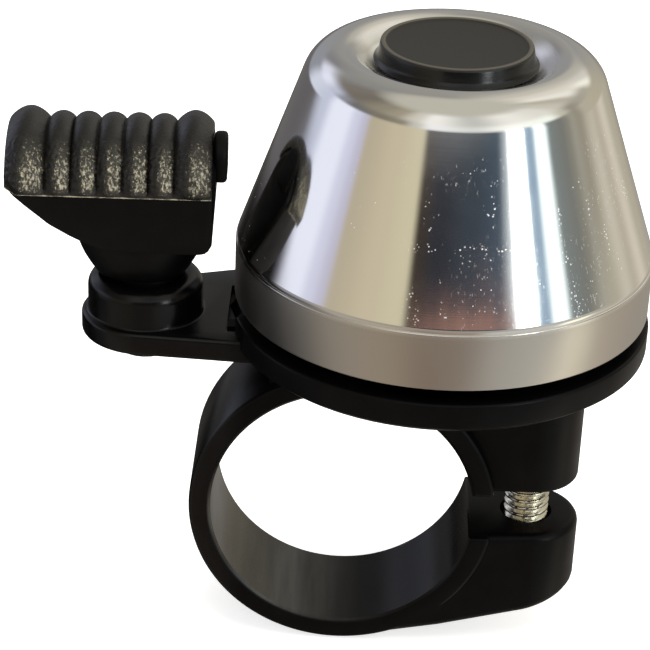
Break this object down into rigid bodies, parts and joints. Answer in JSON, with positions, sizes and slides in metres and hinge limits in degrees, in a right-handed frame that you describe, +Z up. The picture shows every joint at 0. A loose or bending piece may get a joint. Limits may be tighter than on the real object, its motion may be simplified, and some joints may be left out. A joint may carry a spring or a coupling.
{
  "type": "bicycle bell",
  "caption": "Handlebar bell: polished conical dome on a black pan, ribbed thumb lever that swings a hammer inside the dome, and a split clamp closed by a screw.",
  "frame": {"origin": "centre of the handlebar clamp's bore", "axes": "+Y along the handlebar, +Z up through the dome, thumb lever towards -X and clamp screw towards +X"},
  "size_m": [0.0538, 0.0354, 0.0547],
  "materials": {
    "black_plastic": "moulded, satin gloss",
    "cap_plastic": "satin",
    "grip_rubber": "pebbled, slightly glossy",
    "polished_aluminium": "polished",
    "zinc_steel": "zinc plated",
    "spring_steel": "bright rolled",
    "brass": "machined",
    "nylon": "natural",
    "washer_rubber": "matt"
  },
  "bodies": {
    "base": {"base_clamp_moulding": "black_plastic", "dome": "polished_aluminium", "dome_cap": "cap_plastic", "dome_screw": "zinc_steel", "dome_lock_washer": "spring_steel", "dome_washer": "zinc_steel", "dome_bush": "nylon", "dome_damper_washer": "washer_rubber", "post_insert": "brass", "clamp_insert": "brass", "clamp_washer": "zinc_steel", "torsion_spring": "spring_steel"},
    "lever": {"thumb_lever": "black_plastic", "thumb_grip": "grip_rubber", "pivot_screw": "zinc_steel", "pivot_washer": "zinc_steel", "hammer_arm": "spring_steel", "hammer_head": "zinc_steel", "hammer_rivet": "zinc_steel"},
    "clamp_screw_body": {"clamp_screw": "zinc_steel"}
  },
  "joints": [
    {"name": "lever_swing", "type": "hinge", "parent": "base", "child": "lever", "pos_m": [-0.0175, 0, 0.0178], "axis": [0, 0, 1], "range_deg": [-28, 3.5], "stiffness_Nm_per_rad": 0.02, "deforming": ["torsion_spring"]},
    {"name": "clamp_screw_turn", "type": "hinge", "parent": "base", "child": "clamp_screw_body", "pos_m": [0.01645, 0, 0], "axis": [0, 0, 1], "continuous": true}
  ]
}
